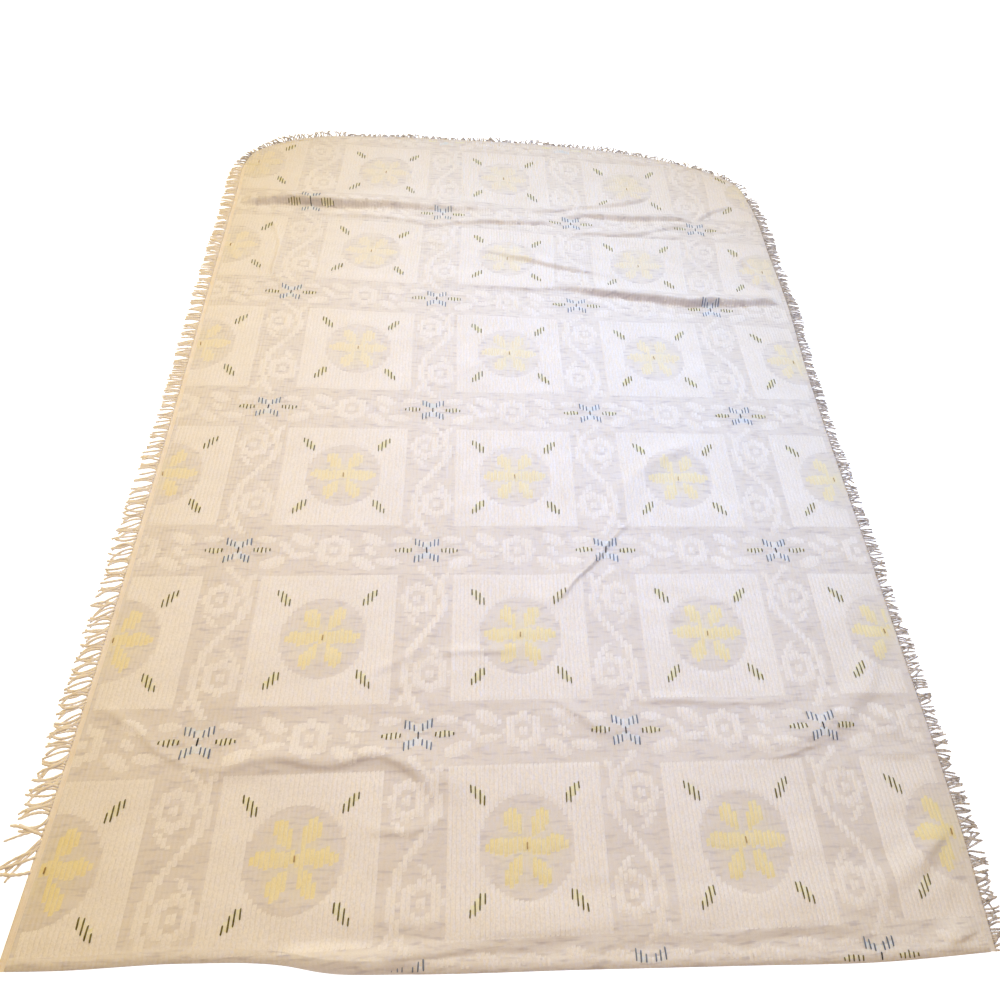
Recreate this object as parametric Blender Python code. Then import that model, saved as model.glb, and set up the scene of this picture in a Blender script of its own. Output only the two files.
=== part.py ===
"""A fringed chenille bedspread laid out on a floor: one cotton sheet and three lengths of cord fringe.

Metres, +Z up. The floor is z = 0, +Y runs towards the foot of the spread, where its corners are rounded,
and +X is to the right. The sheet is flat on the floor but for the folds that lie across it. The fringe is
sewn along both sides and round the foot, each length of it on its own narrow heading tape.
"""

import math
import random

import bmesh
import bpy
import numpy as np

# Driving dimensions
REPEAT = 0.446  # the woven pattern's repeat, across and along; the tables below count in it
CENTRE_COLUMN = 2.0  # the pattern column that lies on x = 0
CENTRE_ROW = 2.59  # the pattern row that lies on y = 0
CLOTH_THICKNESS = 0.003
HEADING_WIDTH = 0.014  # the tape that the fringe hangs from
SEWN_GAP = 0.0005  # between the sheet's edge and the tape
TAPE_GAP = 0.0003  # between two lengths of tape
STRAND_LENGTH = 0.055
STRAND_WIDTH = 0.008
STRAND_HEIGHT = 0.0045
STRAND_COUNT = 288
COLUMNS = 54  # of the sheet's grid
ROWS = 94
HEM_FADE = 0.07  # folds die out over this width before they reach a sewn edge

# The cloth's four edges as (column, row) in repeats. The side hems run from the head to the foot.
LEFT_HEM = [
    (-0.07, -0.335),
    (-0.06, 0.0),
    (-0.043, 1.3),
    (-0.052, 2.6),
    (-0.07, 3.67),
    (-0.083, 4.7),
    (-0.087, 5.0),
]
RIGHT_HEM = [
    (4.03, -0.478),
    (4.06, 0.0),
    (4.07, 1.0),
    (4.075, 3.0),
    (4.1, 3.6),
    (4.1, 4.1),
    (4.08, 4.86),
]
HEAD_EDGE = [(-0.07, -0.335), (1.14, -0.387), (2.18, -0.465), (3.31, -0.487), (4.03, -0.478)]
FOOT_EDGE = [
    (-0.087, 5.0),
    (-0.05, 5.16),
    (0.139, 5.339),
    (0.4, 5.45),
    (0.92, 5.52),
    (1.5, 5.538),
    (2.226, 5.543),
    (2.8, 5.51),
    (3.18, 5.448),
    (3.53, 5.36),
    (3.79, 5.25),
    (3.92, 5.165),
    (4.02, 5.05),
    (4.08, 4.86),
]

# name, height, width on the head side, width on the foot side, crest as (column, row) in repeats
FOLDS = [
    ("foot fold", 0.024, 0.045, 0.085, [(-0.05, 4.66), (0.4, 4.68), (1.0, 4.67), (1.5, 4.68), (2.0, 4.65)]),
    ("foot fold, right", 0.017, 0.04, 0.07, [(1.9, 4.6), (2.5, 4.6), (3.0, 4.63), (3.5, 4.62), (3.8, 4.6)]),
    ("corner wrinkle", 0.012, 0.035, 0.06, [(2.5, 4.66), (2.95, 4.78), (3.2, 4.9), (3.6, 4.98)]),
    ("hem wrinkle", 0.012, 0.035, 0.05, [(3.45, 4.5), (3.65, 4.66), (3.9, 4.77)]),
    ("second fold", 0.011, 0.04, 0.07, [(0.6, 4.43), (1.4, 4.42), (2.2, 4.45), (2.6, 4.5)]),
    ("second fold, right", 0.009, 0.035, 0.05, [(2.5, 4.38), (3.0, 4.36), (3.5, 4.36), (3.95, 4.46)]),
    ("slanting fold", 0.011, 0.035, 0.05, [(1.4, 4.12), (1.95, 4.05), (2.4, 3.93), (2.8, 3.8)]),
    ("long pleat", 0.022, 0.032, 0.07, [(1.9, 3.72), (2.5, 3.72), (3.1, 3.67), (3.6, 3.62), (4.06, 3.64)]),
    ("middle crease", 0.013, 0.045, 0.05, [(2.08, 1.1), (2.3, 1.36), (2.5, 1.6), (2.62, 1.78)]),
    ("middle ridge", 0.008, 0.05, 0.05, [(2.56, 1.86), (2.8, 2.06), (3.2, 2.3)]),
    ("side crumple", 0.014, 0.04, 0.06, [(3.1, 0.38), (3.5, 0.48), (3.8, 0.72), (3.98, 1.0)]),
    ("head crumple", 0.012, 0.04, 0.05, [(3.45, -0.3), (3.7, -0.18), (4.0, 0.06)]),
    ("head ripple", 0.009, 0.04, 0.05, [(0.6, 0.38), (1.1, 0.42), (1.5, 0.38), (1.75, 0.2)]),
    ("head roll", 0.014, 0.05, 0.06, [(1.2, -0.27), (1.9, -0.34), (2.6, -0.36), (3.3, -0.36), (3.9, -0.37)]),
]
FOLD_TAPER = 0.16  # metres over which a fold rises at each of its ends
FOLD_STEP = 0.03  # between the points that a fold's crest is measured from


def place(points):
    """Points given as (column, row) in repeats, in metres."""
    return [((c - CENTRE_COLUMN) * REPEAT, (r - CENTRE_ROW) * REPEAT) for c, r in points]


def lengths_along(curve):
    return np.concatenate([[0.0], np.cumsum(np.hypot(*np.diff(curve, axis=0).T))])


def smooth_curve(points, spacing=0.005):
    """A smooth curve through the points, as an array of (x, y) about this far apart."""
    knots = np.array(points, float)
    reached = lengths_along(knots)
    slopes = np.gradient(knots, reached, axis=0)
    at = np.linspace(0, reached[-1], math.ceil(reached[-1] / spacing) + 1)
    k = np.clip(np.searchsorted(reached, at, side="right") - 1, 0, len(knots) - 2)
    span = (reached[k + 1] - reached[k])[:, None]
    t = (at - reached[k])[:, None] / span
    return (
        (1 + 2 * t) * (1 - t) ** 2 * knots[k]
        + t * (1 - t) ** 2 * span * slopes[k]
        + t**2 * (3 - 2 * t) * knots[k + 1]
        - t**2 * (1 - t) * span * slopes[k + 1]
    )


def outward_normals(curve):
    """Unit normals on the left of the curve's direction, which is outside for a clockwise outline."""
    tangents = np.gradient(curve, axis=0)
    tangents /= np.hypot(*tangents.T)[:, None]
    return np.stack([-tangents[:, 1], tangents[:, 0]], axis=1)


class Run:
    """A smooth length of the outline that can be read at any distance along it."""

    def __init__(self, curve):
        self.curve = curve
        self.normals = outward_normals(curve)
        self.lengths = lengths_along(curve)
        self.total = self.lengths[-1]

    def point(self, distance, outward=0.0):
        x, y = (np.interp(distance, self.lengths, self.curve[:, k]) for k in (0, 1))
        nx, ny = (np.interp(distance, self.lengths, self.normals[:, k]) for k in (0, 1))
        size = np.hypot(nx, ny)
        return x + outward * nx / size, y + outward * ny / size


def outline_runs():
    """The hem that carries fringe, up the left side, round the foot and down the right, and where each starts."""
    hem = smooth_curve(place(LEFT_HEM + FOOT_EDGE[1:-1] + RIGHT_HEM[::-1]))
    whole = Run(hem)
    turns = [int(np.argmin(np.hypot(*(hem - corner).T))) for corner in place([FOOT_EDGE[0], FOOT_EDGE[-1]])]
    return whole, [0.0, *whole.lengths[turns], whole.total]


def fold_heights(x, y):
    """How far the folds lift the cloth off the floor at each point."""
    lift = np.zeros_like(x)
    for _, height, head_side, foot_side, crest in FOLDS:
        curve = smooth_curve(place(crest), FOLD_STEP)
        lengths = lengths_along(curve)
        nearest = np.full(x.shape, np.inf)
        side = np.zeros(x.shape)
        along = np.zeros(x.shape)
        for start, end, reached in zip(curve, curve[1:], lengths):
            run = end - start
            size = math.hypot(*run)
            t = np.clip(((x - start[0]) * run[0] + (y - start[1]) * run[1]) / size**2, 0, 1)
            away_x, away_y = x - start[0] - t * run[0], y - start[1] - t * run[1]
            distance = np.hypot(away_x, away_y)
            closer = distance < nearest
            nearest = np.where(closer, distance, nearest)
            side = np.where(closer, run[0] * away_y - run[1] * away_x, side)
            along = np.where(closer, reached + t * size, along)
        half_width = np.where(side > 0, foot_side, head_side)
        bell = np.cos(np.clip(nearest / half_width, 0, 1) * math.pi / 2) ** 2
        from_end = np.clip(np.minimum(along, lengths[-1] - along) / FOLD_TAPER, 0, 1)
        lift = np.maximum(lift, height * bell * from_end * (2 - from_end))
    return lift


def material(name, colour, roughness):
    finish = bpy.data.materials.new(name)
    finish.use_nodes = True
    shader = finish.node_tree.nodes["Principled BSDF"]
    shader.inputs["Base Color"].default_value = (*colour, 1.0)
    shader.inputs["Roughness"].default_value = roughness
    shader.inputs["Metallic"].default_value = 0.0
    return finish


def add_object(name, mesh_builder, finish):
    mesh = bpy.data.meshes.new(name)
    mesh_builder.to_mesh(mesh)
    mesh_builder.free()
    mesh.materials.append(finish)
    part = bpy.data.objects.new(name, mesh)
    bpy.context.scene.collection.objects.link(part)
    return part


def cloth_sheet(whole, ends):
    """The sheet's underside as a grid between its four edges, which Solidify thickens upwards."""
    inset = -(HEADING_WIDTH + SEWN_GAP)
    distances = [np.linspace(a, b, 400) for a, b in zip(ends, ends[1:])]
    left, foot, right = (np.stack(whole.point(d, inset), axis=1) for d in distances)
    right = right[::-1]
    head = smooth_curve(place(HEAD_EDGE))

    foot_lengths = lengths_along(foot)
    foot_x = np.interp(np.linspace(0, foot_lengths[-1], COLUMNS + 1), foot_lengths, foot[:, 0])
    across = (foot_x - foot_x[0]) / (foot_x[-1] - foot_x[0])
    foot_y = np.interp(foot_x, foot[:, 0], foot[:, 1])
    head_x = left[0, 0] + across * (right[0, 0] - left[0, 0])
    head_y = np.interp(head_x, head[:, 0], head[:, 1])

    up = np.linspace(0, 1, ROWS + 1)
    left_x = np.interp(head_y[0] + up * (foot_y[0] - head_y[0]), left[:, 1], left[:, 0])
    right_x = np.interp(head_y[-1] + up * (foot_y[-1] - head_y[-1]), right[:, 1], right[:, 0])
    x = left_x[:, None] + across[None, :] * (right_x - left_x)[:, None]
    y = head_y[None, :] + up[:, None] * (foot_y - head_y)[None, :]

    from_sides = np.minimum(x - left_x[:, None], right_x[:, None] - x)
    from_foot = np.interp(x, foot[:, 0], foot[:, 1]) - y
    from_head = y - head_y[None, :]
    from_edge = np.clip(np.minimum(np.minimum(from_sides, from_foot), from_head) / HEM_FADE, 0, 1)
    z = fold_heights(x, y) * from_edge**2 * (3 - 2 * from_edge)

    builder = bmesh.new()
    corners = [[builder.verts.new((x[r, c], y[r, c], z[r, c])) for c in range(COLUMNS + 1)] for r in range(ROWS + 1)]
    for lower, upper in zip(corners, corners[1:]):
        for c in range(COLUMNS):
            builder.faces.new((lower[c], lower[c + 1], upper[c + 1], upper[c]))
    cloth = add_object("bedspread_cloth", builder, material("ivory chenille", (0.83, 0.77, 0.70), 0.9))
    thicken = cloth.modifiers.new("cloth thickness", "SOLIDIFY")
    thicken.thickness = CLOTH_THICKNESS
    thicken.offset = 1.0
    return cloth


def fringe_length(name, whole, start, end, strand_count, seed, finish):
    """One tape and its strands in a single solid; every strand grows out of the tape's outer side."""
    rng = random.Random(seed)
    pitch = (end - start) / strand_count
    centres = [start + (k + 0.5) * pitch for k in range(strand_count)]
    stations = [start] + [c + side * STRAND_WIDTH / 2 for c in centres for side in (-1, 1)] + [end]
    builder = bmesh.new()

    def column(distance, outward, height):
        x, y = whole.point(distance, outward)
        return builder.verts.new((x, y, 0.0)), builder.verts.new((x, y, height))

    inner = [column(s, -HEADING_WIDTH, CLOTH_THICKNESS) for s in stations]
    outer = [column(s, 0.0, CLOTH_THICKNESS) for s in stations]
    for k in range(len(stations) - 1):
        (i_low, i_top), (j_low, j_top) = inner[k], inner[k + 1]
        (o_low, o_top), (p_low, p_top) = outer[k], outer[k + 1]
        builder.faces.new((i_low, j_low, j_top, i_top))
        builder.faces.new((i_top, j_top, p_top, o_top))
        builder.faces.new((i_low, o_low, p_low, j_low))
        if k % 2 == 0:
            builder.faces.new((o_low, o_top, p_top, p_low))
    for (i_low, i_top), (o_low, o_top), turned in ((inner[0], outer[0], False), (inner[-1], outer[-1], True)):
        cap = (i_low, i_top, o_top, o_low)
        builder.faces.new(cap[::-1] if turned else cap)

    for k, centre in enumerate(centres):
        root = outer[2 * k + 1] + outer[2 * k + 2][::-1]
        length = STRAND_LENGTH * rng.uniform(0.86, 1.0)
        lean = 0.009 * math.sin(centre * 9.0) + rng.uniform(-0.0035, 0.0035)
        ring = root
        for share, width, height in ((0.5, 0.85, 1.0), (1.0, 0.55, 0.65)):
            shift = lean * share**1.5
            half = STRAND_WIDTH * width / 2
            near = column(centre + shift - half, length * share, STRAND_HEIGHT * height)
            far = column(centre + shift + half, length * share, STRAND_HEIGHT * height)
            section = near + far[::-1]
            for a in range(4):
                b = (a + 1) % 4
                builder.faces.new((ring[a], section[a], section[b], ring[b]))
            ring = section
        builder.faces.new(ring)
    bmesh.ops.recalc_face_normals(builder, faces=builder.faces)
    return add_object(name, builder, finish)


def build():
    for old in list(bpy.data.objects):
        bpy.data.objects.remove(old)
    whole, ends = outline_runs()
    cloth_sheet(whole, ends)
    cream = material("cream cotton fringe", (0.80, 0.72, 0.62), 0.85)
    sewn = whole.total
    for seed, (name, start, end) in enumerate(zip(("fringe_left", "fringe_foot", "fringe_right"), ends, ends[1:])):
        count = round(STRAND_COUNT * (end - start) / sewn)
        fringe_length(name, whole, start + TAPE_GAP / 2, end - TAPE_GAP / 2, count, seed, cream)


build()
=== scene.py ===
"""A woven chenille bedspread lying on the floor: cream ground, white tufted squares and scrolls, yellow flowers."""

import itertools
import math

import bpy
import numpy as np
from mathutils import Matrix, Vector


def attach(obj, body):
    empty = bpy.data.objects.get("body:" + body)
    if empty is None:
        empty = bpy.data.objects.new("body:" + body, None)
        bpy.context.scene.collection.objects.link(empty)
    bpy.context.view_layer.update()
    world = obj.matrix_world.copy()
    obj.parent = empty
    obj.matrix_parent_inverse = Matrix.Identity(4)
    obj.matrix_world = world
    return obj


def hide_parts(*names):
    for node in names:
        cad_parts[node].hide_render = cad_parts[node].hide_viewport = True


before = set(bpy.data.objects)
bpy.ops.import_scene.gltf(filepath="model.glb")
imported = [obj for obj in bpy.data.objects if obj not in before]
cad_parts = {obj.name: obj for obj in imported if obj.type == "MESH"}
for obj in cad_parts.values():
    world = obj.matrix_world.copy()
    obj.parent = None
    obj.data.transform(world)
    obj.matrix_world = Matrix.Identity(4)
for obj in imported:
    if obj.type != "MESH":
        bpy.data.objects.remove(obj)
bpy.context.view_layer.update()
scene = bpy.context.scene

# ---------- camera
# Someone stands at the head end, a little left of the middle, holds the camera at shoulder height with a slight
# tilt, and looks down the length of the cloth. The lens is shifted a little to one side.

EYE = Vector((-0.116, -1.313, 1.523))
LOOKED_AT = Vector((0.067, -0.334, 0.0))
HELD_TILTED = math.radians(9.3)

lens = bpy.data.cameras.new("camera")
lens.lens = 25.0
lens.sensor_width = 36.0
lens.shift_x = -0.041
camera = bpy.data.objects.new("camera", lens)
looking = (LOOKED_AT - EYE).to_track_quat("-Z", "Y").to_matrix().to_4x4()
camera.matrix_world = Matrix.Translation(EYE) @ looking @ Matrix.Rotation(HELD_TILTED, 4, "Z")
scene.collection.objects.link(camera)
scene.camera = camera

# ---------- ground cloth
# The ground is a plain cotton weave in one width, two and two-thirds metres long, with the head end turned under
# in a narrow hem. It has been spread by hand, so a few soft folds cross it and the weave is cockled all over.
# Places on it are counted in pattern repeats: column 2 is the middle column of squares, row 0 the first row.

REPEAT = 0.446
RIBS_PER_REPEAT = 48
RIB = REPEAT / RIBS_PER_REPEAT
MIDDLE_COLUMN, MIDDLE_ROW = 2.0, 2.59

LEFT_HEM = [(-0.07, -0.345), (-0.06, 0.0), (-0.043, 1.3), (-0.052, 2.6), (-0.07, 3.67), (-0.083, 4.7), (-0.087, 5.0)]
RIGHT_HEM = [(4.03, -0.478), (4.06, 0.0), (4.07, 1.0), (4.075, 3.0), (4.1, 3.6), (4.09, 4.1), (4.06, 4.86)]
HEAD_EDGE = [
    (-0.07, -0.345), (0.14, -0.352), (0.62, -0.352), (1.0, -0.377), (1.18, -0.412), (1.5, -0.432), (2.2, -0.452),
    (2.9, -0.473), (3.5, -0.49), (4.03, -0.478),
]
FOOT_EDGE = [
    (-0.087, 5.0), (-0.05, 5.16), (0.139, 5.339), (0.4, 5.45), (0.92, 5.52), (1.5, 5.538), (2.226, 5.543),
    (2.8, 5.51), (3.18, 5.448), (3.53, 5.36), (3.79, 5.25), (3.92, 5.175), (4.01, 5.07), (4.06, 4.86),
]
TAPE_WIDTH = 0.0145  # of the fringe tape, which is sewn on outside the cloth
UNDER_TAPE = 0.0012  # the weave's edge overlaps the tape by this much

# The folds, in millimetres and hundredths of a repeat: the width on the head side and on the foot side, and the
# crest as column, row and height.
FOLDS = [
    (20, 90, [(-4, 453, 10), (14, 453, 22), (35, 455, 29), (56, 454, 29), (76, 455, 26), (102, 456, 22),
        (129, 457, 17), (152, 457, 13), (176, 458, 10), (199, 458, 4)]),
    (11, 40, [(43, 442, 2), (80, 442, 5), (118, 440, 7), (141, 434, 6), (164, 439, 8), (195, 441, 12), (227, 441, 12),
        (239, 442, 6)]),
    (10, 40, [(211, 455, 4), (227, 458, 7), (252, 462, 8), (277, 468, 8), (298, 473, 10), (311, 478, 9),
        (323, 488, 4)]),
    (13, 50, [(243, 448, 4), (255, 453, 10), (275, 454, 14), (291, 453, 17), (316, 454, 17), (341, 455, 14),
        (353, 453, 9)]),
    (10, 30, [(353, 452, 6), (361, 459, 10), (371, 467, 10), (382, 473, 7), (397, 478, 3)]),
    (11, 40, [(230, 431, 3), (254, 432, 6), (273, 432, 9), (297, 432, 11), (314, 437, 10), (327, 443, 8),
        (349, 450, 5)]),
    (11, 50, [(172, 407, 3), (195, 404, 7), (209, 399, 10), (224, 395, 12), (239, 390, 12), (254, 388, 9),
        (269, 385, 5), (288, 382, 2)]),
    (16, 70, [(144, 369, 2), (165, 368, 5), (194, 367, 7), (223, 366, 8), (241, 368, 10), (259, 365, 18),
        (274, 362, 22), (296, 360, 24), (314, 358, 25), (332, 356, 26), (347, 357, 26), (371, 358, 22),
        (395, 361, 18), (408, 363, 12)]),
    (8, 12, [(217, 116, 4), (221, 120, 10), (229, 129, 12), (239, 139, 12), (246, 147, 11), (254, 156, 8),
        (263, 165, 5), (273, 173, 2)]),
    (10, 14, [(397, 89, 2), (391, 82, 6), (385, 75, 6), (380, 69, 5), (375, 63, 7), (372, 58, 5), (365, 51, 3),
        (354, 45, 4), (344, 41, 6), (337, 39, 7), (330, 37, 6), (320, 36, 5), (312, 35, 2)]),
    (9, 35, [(96, -36, 5), (104, -36, 15), (114, -37, 18), (127, -37, 16), (143, -38, 10), (159, -37, 6),
        (179, -36, 5), (195, -36, 4), (207, -38, 2)]),
    (24, 50, [(210, -43, 1), (218, -40, 3), (229, -36, 4), (240, -34, 3), (255, -33, 5), (267, -35, 3), (289, -35, 6),
        (311, -33, 5), (329, -34, 7), (343, -35, 4), (350, -37, 2)]),
    (22, 50, [(351, -34, 2), (357, -30, 4), (366, -27, 5), (378, -25, 3), (391, -22, 5), (403, -20, 3)]),
    (14, 40, [(372, -46, 3), (381, -44, 7), (394, -41, 10), (406, -38, 8)]),
    (50, 60, [(90, -22, 4), (190, -27, 6), (260, -28, 6), (330, -27, 6), (390, -25, 4)]),
    (50, 50, [(208, 110, 3), (230, 136, 6), (250, 160, 6), (262, 180, 5), (280, 206, 6), (320, 230, 4)]),
    (40, 60, [(310, 38, 4), (350, 48, 8), (380, 72, 8), (398, 100, 4)]),
    (40, 50, [(345, -30, 5), (370, -18, 9), (400, 6, 6)]),
    (35, 70, [(60, 38, 5), (110, 42, 8), (150, 38, 8), (175, 20, 4)]),
]
# The smaller creases, which the hand leaves when it smooths the cloth out: height, the two widths, and the crest.
CREASES = [
    (5, 10, 20, [(22, 433), (28, 422), (32, 408), (35, 391), (33, 377), (40, 363), (46, 354)]),
    (6, 12, 20, [(376, 422), (382, 413), (386, 403), (391, 392), (394, 378)]),
    (5, 11, 30, [(369, 441), (380, 443), (392, 447), (402, 451)]),
    (5, 11, 30, [(299, 432), (322, 432), (346, 433)]),
    (4, 10, 30, [(127, 412), (155, 413)]),
    (5, 15, 30, [(-3, 486), (10, 503), (40, 512)]),
    (7, 16, 30, [(300, 536), (340, 529), (370, 520), (400, 503)]),
    (5, 14, 30, [(385, 493), (397, 485), (403, 466)]),
    (4, 20, 20, [(315, 226), (291, 214), (267, 196), (259, 188), (260, 170)]),
    (3, 12, 20, [(286, 260), (258, 232)]),
    (3, 12, 20, [(350, 300), (320, 281)]),
    (3, 10, 20, [(235, 268), (205, 266)]),
    (3, 10, 20, [(164, 280), (191, 297), (206, 304)]),
    (5, 11, 30, [(213, 68), (229, 56), (245, 48)]),
    (2.5, 9, 20, [(368, 34), (381, 34), (392, 34), (406, 34)]),
    (4, 8, 20, [(347, 28), (354, 30), (362, 31)]),
    (4, 10, 20, [(377, 59), (384, 54), (386, 43), (388, 40)]),
    (4, 9, 20, [(259, 65), (284, 64), (310, 62), (337, 63)]),
    (4, 9, 20, [(280, 11), (284, 13), (291, 13)]),
    (5, 12, 30, [(405, 4), (393, -3), (384, -8), (377, -14)]),
    (3, 12, 30, [(163, -33), (179, -33), (196, -33), (212, -33), (229, -34)]),
    (4, 10, 20, [(198, 120), (200, 100), (199, 84)]),
    (4, 10, 20, [(154, 91), (180, 92), (200, 91)]),
    (4, 16, 20, [(158, 135), (160, 117), (154, 99), (141, 88), (120, 79)]),
    (5, 12, 30, [(60, 35), (82, 42), (111, 37), (132, 42), (150, 33), (160, 21)]),
    (4, 11, 20, [(128, 11), (150, 9), (164, 15)]),
    (4, 11, 20, [(0, 68), (20, 58), (34, 46), (66, 35)]),
]
FOLD_RISE = 0.06  # metres over which a fold rises at each end
FLAT_RIM, FLAT_HEAD = 0.06, 0.018  # the folds die out this far from the fringed edges, and from the head hem
CLOTH_TOP = 0.002  # of the ground weave above its underside
COCKLE, RIM_COCKLE = 0.002, 0.15  # and the share of it that is left where the folds die out
ASTRAY = 0.004  # how far a fold's crest wanders to either side
BORDER_PUCKER, PUCKER_WIDTH = 0.0016, 0.007
SQUARE_HALF = 16.75  # of a square's width, in ribs


def metres(points):
    return np.array([((c - MIDDLE_COLUMN) * REPEAT, (r - MIDDLE_ROW) * REPEAT) for c, r in points])


def lengths_along(line):
    return np.concatenate([[0.0], np.cumsum(np.hypot(*np.diff(line, axis=0).T))])


def smooth_line(points, spacing=0.005):
    """A smooth curve through the points, as (x, y) about this far apart."""
    knots = np.array(points, float)
    reached = lengths_along(knots)
    slopes = np.gradient(knots, reached, axis=0)
    at = np.linspace(0, reached[-1], math.ceil(reached[-1] / spacing) + 1)
    k = np.clip(np.searchsorted(reached, at, side="right") - 1, 0, len(knots) - 2)
    span = (reached[k + 1] - reached[k])[:, None]
    t = (at - reached[k])[:, None] / span
    bend = t * (1 - t) * span
    return knots[k] + t * t * (3 - 2 * t) * (knots[k + 1] - knots[k]) + bend * ((1 - t) * slopes[k] - t * slopes[k + 1])


def ridge(x, y, height, head_side, foot_side, crest):
    """How far one fold lifts the cloth: a rounded ridge with its own slope on each side. Its height is the same all
    along, or changes from point to point of the crest."""
    knots = metres(np.array(crest) / 100)
    heights, head_side, foot_side = np.broadcast_to(height, len(crest)) / 1000, head_side / 1000, foot_side / 1000
    line = smooth_line(knots, 0.02)
    lengths, knot_lengths = lengths_along(line), lengths_along(knots)
    heights = np.interp(lengths / lengths[-1], knot_lengths / knot_lengths[-1], heights)
    reach = max(head_side, foot_side)
    (low_x, low_y), (high_x, high_y) = line.min(axis=0) - reach, line.max(axis=0) + reach
    around = (x > low_x) & (x < high_x) & (y > low_y) & (y < high_y)
    px, py = x[around], y[around]
    nearest, side, along = np.full(px.shape, np.inf), np.zeros(px.shape), np.zeros(px.shape)
    for start, end, reached in zip(line, line[1:], lengths):
        run = end - start
        size = math.hypot(*run)
        t = np.clip(((px - start[0]) * run[0] + (py - start[1]) * run[1]) / size**2, 0, 1)
        off_x, off_y = px - start[0] - t * run[0], py - start[1] - t * run[1]
        distance = np.hypot(off_x, off_y)
        closer = distance < nearest
        nearest = np.where(closer, distance, nearest)
        side = np.where(closer, run[0] * off_y - run[1] * off_x, side)
        along = np.where(closer, reached + t * size, along)
    if line[0][0] > line[-1][0]:
        side = -side
    bell = np.cos(np.clip(nearest / np.where(side > 0, foot_side, head_side), 0, 1) * math.pi / 2) ** 2
    from_end = np.clip(np.minimum(along, lengths[-1] - along) / FOLD_RISE, 0, 1)
    lift = np.zeros(x.shape)
    lift[around] = np.interp(along, lengths, heights) * bell * from_end * (2 - from_end)
    return lift


def wander(x, y, step_x, step_y, seed):
    """Smooth random waves between -1 and 1, about step_x and step_y long."""
    knots = np.random.default_rng(seed).uniform(-1, 1, (80, 240))
    u, v = (x + 3.0) / step_x, (y + 3.0) / step_y
    i, j = np.floor(u).astype(int), np.floor(v).astype(int)
    s, t = u - i, v - j
    s, t = s * s * (3 - 2 * s), t * t * (3 - 2 * t)
    i, j, i1, j1 = i % 80, j % 240, (i + 1) % 80, (j + 1) % 240
    return (1 - t) * ((1 - s) * knots[i, j] + s * knots[i1, j]) + t * ((1 - s) * knots[i, j1] + s * knots[i1, j1])


# The tape's outer edge runs up the left side, round the foot and down the right side in one line. The weave is sewn
# to it a tape's width further in.
hem = smooth_line(metres(LEFT_HEM + FOOT_EDGE[1:-1] + RIGHT_HEM[::-1]))
hem_lengths = lengths_along(hem)
hem_way = np.gradient(hem, axis=0)
hem_out = np.stack([-hem_way[:, 1], hem_way[:, 0]], axis=1) / np.hypot(*hem_way.T)[:, None]
corners = metres([FOOT_EDGE[0], FOOT_EDGE[-1]])
left_corner, right_corner = (int(np.argmin(np.hypot(*(hem - corner).T))) for corner in corners)
sewn = hem - hem_out * (TAPE_WIDTH - UNDER_TAPE)
left_hem, foot_edge = sewn[: left_corner + 1], sewn[left_corner : right_corner + 1]
right_hem = sewn[right_corner:][::-1]
foot_edge[:, 0] = np.maximum.accumulate(foot_edge[:, 0])
head_edge = smooth_line(metres(HEAD_EDGE))


def from_edges(x, y):
    """The distance from the nearest fringed edge, and from the head edge."""
    sides = np.minimum(x - np.interp(y, *left_hem.T[::-1]), np.interp(y, *right_hem.T[::-1]) - x)
    from_head = y - np.interp(x, *head_edge.T)
    from_foot = np.interp(x, *foot_edge.T) - y
    return np.minimum(sides, from_foot), from_head


def lie_of_cloth(x, y):
    lift = np.zeros(x.shape)
    bent_x, bent_y = x + ASTRAY * wander(x, y, 0.05, 0.06, 17), y + ASTRAY * wander(x, y, 0.06, 0.05, 18)
    for head_side, foot_side, crest in FOLDS:
        *line, heights = np.array(crest).T
        lift = np.maximum(lift, ridge(bent_x, bent_y, heights, head_side, foot_side, np.transpose(line)))
    for crease in CREASES:
        lift += ridge(bent_x, bent_y, *crease)
    rows = y / REPEAT + MIDDLE_ROW
    from_border = (np.abs(rows - np.round(rows)) - SQUARE_HALF / RIBS_PER_REPEAT) * REPEAT
    pucker = np.exp(-((from_border / PUCKER_WIDTH) ** 2)) * (0.5 + 0.5 * wander(x, y, 0.09, 0.3, 11))
    cockles = 0.6 * wander(x, y, 0.16, 0.034, 3) + 0.4 * wander(x, y, 0.07, 0.019, 5)
    from_fringe, from_head = from_edges(x, y)
    inside = np.clip(np.minimum(from_fringe / FLAT_RIM, from_head / FLAT_HEAD), 0, 1)
    inside = inside**2 * (3 - 2 * inside)
    return (lift + BORDER_PUCKER * pucker) * inside + COCKLE * (1 + cockles) * (RIM_COCKLE + (1 - RIM_COCKLE) * inside)


# The lie is worked out once on a fine raster, and every piece of the bedspread reads its height from there. The
# rows of their meshes crowd together where the cloth bends sharply.
RASTER_X, RASTER_Y = 0.005, 0.0025
SHARP_BEND = 45  # per metre
raster_x = np.arange(-1.05, 1.05, RASTER_X)
raster_y = np.arange(-1.45, 1.45, RASTER_Y)
raster_z = lie_of_cloth(*np.meshgrid(raster_x, raster_y, indexing="ij"))
bend = np.abs(np.gradient(np.gradient(raster_z, RASTER_Y, axis=1), RASTER_Y, axis=1))
crowding = 1 + np.clip(bend / SHARP_BEND - 0.4, 0, 2.0)
for axis, reach in ((1, 4), (0, 2)):
    crowding = sum(np.roll(crowding, shift, axis) for shift in range(-reach, reach + 1)) / (2 * reach + 1)


def read_raster(table, x, y):
    u, v = (x - raster_x[0]) / RASTER_X, (y - raster_y[0]) / RASTER_Y
    i = np.clip(np.floor(u).astype(int), 0, len(raster_x) - 2)
    j = np.clip(np.floor(v).astype(int), 0, len(raster_y) - 2)
    s, t = u - i, v - j
    low = (1 - s) * table[i, j] + s * table[i + 1, j]
    high = (1 - s) * table[i, j + 1] + s * table[i + 1, j + 1]
    return (1 - t) * low + t * high


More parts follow.
